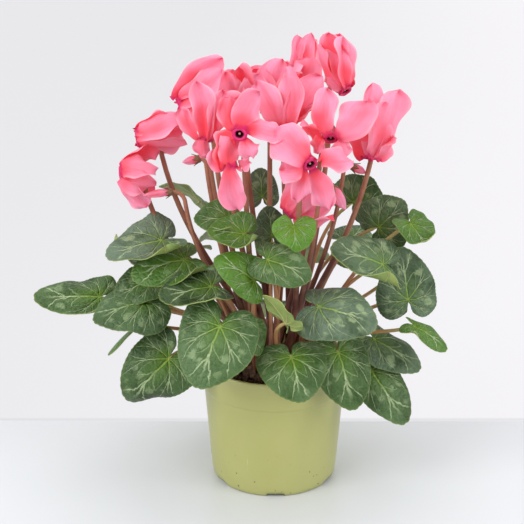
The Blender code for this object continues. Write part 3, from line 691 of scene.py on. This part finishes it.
# mouth, the way the flower faces, and its petals: tip from the mouth, width, the side that a petal
# shows, and how far its middle bows out to that side
FLOWERS = [
    ((-122, -6, 264), (-10, -2, 0),
     [((30, -6, 4), 27, (0, -7, 6), 11), ((29, -10, -7), 22, (1, -9, 1), 5),
      ((21, -5, -27), 17, (-3, -8, -1), 2), ((28, 15, 8), 24, (0, 4, 8), 8),
      ((26, 13, -14), 20, (0, 5, -7), 6)]),
    ((-110, 14, 287), (-10, -2, -1),
     [((35, -4, 17), 27, (-3, -7, 5), 8), ((40, -5, -3), 23, (0, -6, -6), 7),
      ((34, 12, 15), 26, (0, 6, 7), 8), ((35, 16, -2), 24, (0, 8, -4), 7),
      ((37, 4, 7), 20, (0, -4, 8), 3)]),
    ((-76, 12, 316), (-9, -3, -4),
     [((35, 8, 34), 20, (2, -9, 2), -1), ((35, -2, 27), 23, (2, -9, 4), 1),
      ((13, -4, -23), 16, (-5, -8, 0), 3), ((29, 20, 30), 22, (0, 7, 6), 3),
      ((27, 18, 6), 22, (0, 9, -2), 5)]),
    ((-53, -26, 295), (-1, -4, -9),
     [((-7, -4, 47), 17, (-2, -9, 1), 4), ((13, -2, 40), 14, (6, -6, 1), 4),
      ((28, 8, 34), 24, (-5, 7, 2), 2), ((-18, -3, 26), 15, (-4, -7, -4), 3),
      ((-3, -5, -12), 13, (-1, -8, 3), -2)]),
    ((-27, -52, 306), (-1, -9, -2),
     [((15, 5, 31), 23, (1, -9, 2), 4), ((-7, 8, 27), 17, (-2, 9, 1), 2),
      ((33, 2, -3), 20, (2, -8, 4), 3), ((11, -5, -16), 16, (4, -7, -3), 3),
      ((-15, 6, -13), 19, (4, 9, 1), 2)]),
    ((-34, -50, 280), (1, -4, -9),
     [((6, -4, -32), 19, (1, -9, 1), 3), ((-11, 2, 14), 16, (-4, -8, 1), 3),
      ((14, 3, 5), 11, (2, -6, 6), 3), ((4, 8, 26), 18, (0, -9, 2), 4),
      ((-8, 10, 24), 16, (-4, 2, 1), 3)]),
    ((-26, 44, 299), (0, 1, -9),
     [((-2, -3, 41), 17, (-1, 9, 2), 2), ((-14, 3, 34), 18, (-5, -8, 2), 4),
      ((13, 3, 33), 20, (3, -8, 2), 4), ((-8, 17, 34), 20, (-3, 8, 2), 5),
      ((8, 17, 34), 20, (4, 8, 2), 5)]),
    ((7, 0, 299), (0, -2, -9),
     [((2, -6, 49), 18, (-2, -9, 1), 5), ((29, 4, 40), 25, (4, -8, 1), 4),
      ((-22, 3, 35), 21, (-5, -8, 1), 5), ((32, -7, 20), 10, (1, -6, 6), 3),
      ((13, 1, 44), 20, (-1, 9, 1), 1)]),
    ((-4, 52, 300), (0, 2, -9),
     [((10, -4, 44), 23, (-1, -9, 1), 5), ((-8, 3, 36), 22, (-5, -8, 1), 5),
      ((22, 2, 40), 20, (-4, 8, 1), 3), ((-6, 18, 34), 24, (-3, 8, 2), 5),
      ((14, 18, 38), 24, (4, 8, 2), 5)]),
    ((20, 70, 314), (1, 1, -9),
     [((-1, -2, 46), 12, (-7, -6, 1), 4), ((10, -3, 48), 14, (5, -8, 1), 2),
      ((8, -17, 30), 25, (1, -9, 3), 5), ((2, 12, 38), 18, (-6, 6, 2), 4),
      ((14, 12, 40), 13, (4, 8, 2), 4)]),
    ((56, 20, 323), (5, -6, -7),
     [((-4, 0, 44), 16, (4, -8, 1), 3), ((-14, 2, 47), 21, (2, 9, 1), 0),
      ((-22, 4, 37), 14, (-6, -7, 1), 3), ((-17, -4, 11), 13, (-1, -8, 4), 2),
      ((-5, 9, 44), 22, (3, -8, 1), 3)]),
    ((42, -34, 298), (0, -7, -6),
     [((28, 8, 28), 26, (1, -9, 3), 4), ((-3, 5, 39), 18, (-3, -8, 2), 4),
      ((-22, 4, 13), 17, (3, 8, 3), 2), ((9, -1, -14), 15, (2, -8, 2), 2),
      ((-12, -2, -10), 12, (-3, -8, 2), 2)]),
    ((74, -12, 277), (-1, -3, -9),
     [((-18, -2, 38), 29, (4, 8, 1), 1), ((8, -6, 46), 26, (3, -9, 1), 6),
      ((21, 7, 53), 24, (6, -7, 1), 6), ((2, 14, 57), 20, (-1, -9, 2), 3),
      ((19, -4, 18), 19, (6, -7, 1), 3)]),
    ((26, -60, 285), (3, -8, -4),
     [((31, 0, 2), 19, (2, -7, 6), 5), ((-27, 9, 22), 29, (0, -7, 6), 6),
      ((-22, 0, -4), 22, (-2, -9, 1), 4), ((-10, 4, -30), 14, (-3, -8, -1), 2),
      ((15, 5, -36), 18, (2, -8, -1), 2)]),
    ((10, -26, 236), (-6, -2, -6),
     [((13, 4, 34), 17, (-5, -8, 2), 3), ((24, 2, 27), 20, (0, -9, 2), 4),
      ((36, 0, -3), 18, (1, -8, -3), 4), ((32, 4, 12), 20, (0, -9, 0), 4),
      ((20, 15, 22), 20, (0, 8, 2), 4)]),
]


def stalk_path(end, direction, foot, hook):
    """From the tuber up, over a small hook, and into the calyx along the flower's direction."""
    up = Vector((0, 0, 1))
    flat = Vector((direction.x, direction.y, 0.0)).normalized()
    turn = up.angle(direction)
    start = end - hook * (up * math.sin(turn) + flat * (1.0 - math.cos(turn)))
    rise = (start - foot).length
    out = Vector((start.x, start.y, 0.0))
    low, high = (up + out * ROOT_LEAN).normalized(), (up + out * STALK_LEAN).normalized()
    path = [Vector(p) for p in interpolate_bezier(
        foot, foot + low * rise * 0.35, start - high * rise * 0.40, start, STALK_STEPS)]
    for i in range(1, HOOK_STEPS + 1):
        swing = turn * i / HOOK_STEPS
        path.append(start + hook * (up * math.sin(swing) + flat * (1.0 - math.cos(swing))))
    return path


def flower_axes(direction):
    """Right and front of a nodding flower; right and top of one that faces forward."""
    side = Vector((0, 0, 1)).cross(direction)
    side = side.normalized() if side.length > 0.02 else Vector((1, 0, 0))
    if direction.y > 0 and abs(direction.z) > 0.5:
        side = -side
    return side, direction.cross(side)


def add_petal(bm, uv, mouth, direction, petal, seed):
    """One petal: a thin lens, closed by rolling up a grid, swept from the mouth to the petal's tip."""
    tip, width, shown, bow = petal
    tip, shown, half = Vector(tip) * MM, Vector(shown).normalized(), width * MM / 2
    length = tip.length
    ray = tip / length + shown * 0.8
    ray = (ray - direction * ray.dot(direction)).normalized()
    around = direction.cross(ray)
    rows = PETAL_ROWS
    begin = mouth + ray * (MOUTH_R - 0.0006) - direction * 0.0005
    leave = (direction * 0.6 + ray).normalized() * (0.14 * length)
    stray = shown.cross(tip) * (0.16 * math.sin(seed * 3.1))
    path = [Vector(p) for p in interpolate_bezier(
        begin, begin + leave + stray, mouth + tip * 0.62 + shown * bow * MM * 1.5 + stray,
        mouth + tip, rows + 1)]
    frames = []
    for row, spot in enumerate(path):
        share = row / rows
        ahead = (path[min(row + 1, rows)] - path[max(row - 1, 0)]).normalized()
        late = ahead.cross(shown).normalized()
        late = -late if late.dot(around) < 0 else late
        cross = around.lerp(late, min(1.0, share / 0.35))
        cross = (cross - ahead * cross.dot(ahead)).normalized()
        cross = Matrix.Rotation(0.8 * share ** 1.5 * math.sin(seed * 2.3), 3, ahead) @ cross
        lift = cross.cross(ahead)
        frames.append((spot, cross, lift if lift.dot(shown) > 0 or row < 4 else -lift, share))
    made = bmesh.ops.create_grid(bm, x_segments=2 * PETAL_COLUMNS, y_segments=rows, size=0.5)["verts"]
    for vert in made:
        turn = vert.co.x + 0.5
        across = 1.0 - 4.0 * abs(turn - 0.5)
        spot, cross, lift, share = frames[round((vert.co.y + 0.5) * rows)]
        full = 0.72 + 0.10 * math.sin(seed * 1.9 + (2.4 if across > 0 else 0.0))
        grow = min(1.0, share / full)
        wide = 0.30 + 0.70 * (grow * grow * (3 - 2 * grow)) ** 0.75
        if share > full:
            wide *= max(0.0, 1.0 - ((share - full) / (1 - full)) ** 2.0) ** 0.60
        wide *= half * (1.10 + 0.16 * math.sin(share * 11.0 + seed * 2.9 + across * 2.0) * share)
        # seven bends out of the flat: across the petal, along its edges and back at its tip
        cup = (0.30 * math.sin(seed * 1.3) + 0.06) * (1.1 - share) * wide * across * across
        keel = 0.34 * math.sin(seed * 0.9 + 1.0) * (1.2 - share)
        keel *= wide * math.sqrt(across * across + 0.012)
        sway = 0.24 * half * math.sin(share * 4.0 + seed * 1.7) * across * share
        frill = 0.0026 * share * abs(across) ** 3 * math.sin(share * 15.0 + seed * 2.1 + across * 1.5)
        fold = 0.0020 * share * math.sin(across * 4.2 + seed * 1.1 + share * 2.0)
        groove = -0.0010 * math.exp(-((across / 0.16) ** 2)) * (1 - share) * min(1.0, share * 6)
        curl = -0.10 * length * max(0.0, share - 0.7) ** 1.5
        skin = PETAL_T * (0.5 if turn < 0.5 else -0.5) * (1.0 - across ** 8)
        for face in vert.link_faces:
            face.material_index = PETAL
            for loop in face.loops:
                if loop.vert == vert:
                    loop[uv].uv = (2.0 * turn, share)
        raised = cup + keel + sway + frill + fold + groove + curl + skin
        vert.co = spot + cross * across * wide + lift * raised
    faces = list({face for vert in made for face in vert.link_faces})
    bmesh.ops.remove_doubles(bm, verts=made, dist=0.000005)
    bmesh.ops.recalc_face_normals(bm, faces=[face for face in faces if face.is_valid])


def add_corolla_tube(bm, uv, mouth, direction):
    """The corolla's tube with its dark throat and the pale style in it."""
    side, other = flower_axes(direction)
    outline = [(0.0000, -TUBE_DEPTH), (0.0022, -0.0128), (0.0036, -0.0112), (0.0044, -0.0086),
               (0.0050, -0.0050), (0.0056, -0.0015), (0.0058, 0.0000), (0.0048, 0.0008),
               (0.0034, 0.0003), (0.0029, -0.0020), (0.0027, -0.0052), (0.0011, -0.0048),
               (0.0008, -0.0010), (0.0000, -0.0006)]
    rows = len(outline) - 1
    made = bmesh.ops.create_grid(bm, x_segments=30, y_segments=rows, size=0.5)["verts"]
    for face in {face for vert in made for face in vert.link_faces}:
        face.material_index = TUBE
        for loop in face.loops:
            loop[uv].uv = (loop.vert.co.x + 0.5, loop.vert.co.y + 0.5)
    for vert in made:
        angle = math.tau * (vert.co.x + 0.5)
        radius, high = outline[round((vert.co.y + 0.5) * rows)]
        radius *= 1.0 + 0.05 * math.cos(5 * angle)
        vert.co = (mouth + (side * math.cos(angle) + other * math.sin(angle)) * radius
                   + direction * high)
    bmesh.ops.remove_doubles(bm, verts=made, dist=0.000005)


def add_calyx(bm, uv, base, direction):
    """Five small pointed sepals round the end of the stalk."""
    side, other = flower_axes(direction)
    for sepal in range(5):
        angle = math.tau * sepal / 5 + 0.3
        ray = side * math.cos(angle) + other * math.sin(angle)
        around = direction.cross(ray)
        made = bmesh.ops.create_grid(bm, x_segments=6, y_segments=6, size=0.5)["verts"]
        for face in {face for vert in made for face in vert.link_faces}:
            face.material_index = TUBE
            for loop in face.loops:
                loop[uv].uv = (0.5, 0.08)
        for vert in made:
            across, share = vert.co.x * 2.0, vert.co.y + 0.5
            wide = 0.0024 * (1.0 - share ** 1.6) + 0.0001
            radius = 0.0020 + 0.0034 * share - 0.0006 * across * across
            vert.co = base + ray * radius + around * across * wide + direction * 0.0062 * share


for number, (mouth, faces, petals) in enumerate(FLOWERS, 1):
    bm = bmesh.new()
    uv = bm.loops.layers.uv.new("petal")
    mouth, direction = Vector(mouth) * MM, Vector(faces).normalized()
    for step, petal in enumerate(petals):
        add_petal(bm, uv, mouth, direction, petal, number * 5 + step)
    add_corolla_tube(bm, uv, mouth, direction)
    add_calyx(bm, uv, mouth - direction * (TUBE_DEPTH + 0.0002), direction)
    end = mouth - direction * (TUBE_DEPTH - STALK_IN)
    foot = crown_foot(end, 0.004 + 0.011 * abs(math.sin(number * 1.7)), 0.7 * math.sin(number * 2.4))
    path = stalk_path(end, direction, foot, HOOK_R)
    radii = [STALK_R * (1.25 - 0.45 * i / (len(path) - 1)) for i in range(len(path))]
    add_tube(bm, path, radii, STEM, uv)
    name = f"flower_{number:02d}"
    piece = place(name + "_grown", bm, [petal_look, tube_look, stem_look])
    belongs(piece, name)

# ------------------------------------------------------------------ buds
# Narrow furled buds, each hanging from its calyx on a hooked stalk and twisted towards its tip.

BUD_ROWS = 24                    # rows of faces from the calyx to the tip
BUD_TWIST = 2.6                  # how far the furled petals wind round it, in radians

# calyx, the way the bud points, length, thickest radius and radius of the stalk's hook
BUDS = [
    ((-81, -26, 254), (-9, -1, -1), 23, 3.0, 10),
    ((-60, -10, 276), (-9, 0, -2), 14, 3.2, 5),
    ((43, -40, 262), (5, -1, -8), 22, 4.6, 5),
    ((62, 4, 266), (8, 0, -4), 13, 3.2, 5),
]
for number, (calyx, points_to, length, fat, hook) in enumerate(BUDS, 1):
    bm = bmesh.new()
    uv = bm.loops.layers.uv.new("petal")
    calyx, direction = Vector(calyx) * MM, Vector(points_to).normalized()
    side, other = flower_axes(direction)
    made = bmesh.ops.create_grid(bm, x_segments=40, y_segments=BUD_ROWS, size=0.5)["verts"]
    for face in bm.faces:
        for loop in face.loops:
            loop[uv].uv = (loop.vert.co.x * 5.0 % 1.0, 0.15 + 0.8 * (loop.vert.co.y + 0.5))
    for vert in made:
        angle, share = math.tau * (vert.co.x + 0.5), vert.co.y + 0.5
        whorl = angle + BUD_TWIST * share
        radius = fat * MM * math.sin(math.pi * min(1.0, share ** 0.8)) ** 0.75
        radius *= 1.0 + 0.16 * abs(math.sin(2.5 * whorl)) * share
        vert.co = (calyx + direction * (share * length * MM - 0.001)
                   + (side * math.cos(angle) + other * math.sin(angle)) * radius)
    bmesh.ops.remove_doubles(bm, verts=made, dist=0.00001)
    add_calyx(bm, uv, calyx - direction * 0.0017, direction)
    foot = crown_foot(calyx, 0.011, 0.5 * math.sin(number * 2.1))
    path = stalk_path(calyx, direction, foot, hook * MM)
    radii = [STALK_R * (1.1 - 0.40 * i / (len(path) - 1)) for i in range(len(path))]
    add_tube(bm, path, radii, STEM, uv)
    name = f"bud_{number:02d}"
    piece = place(name + "_grown", bm, [petal_look, tube_look, stem_look])
    belongs(piece, name)
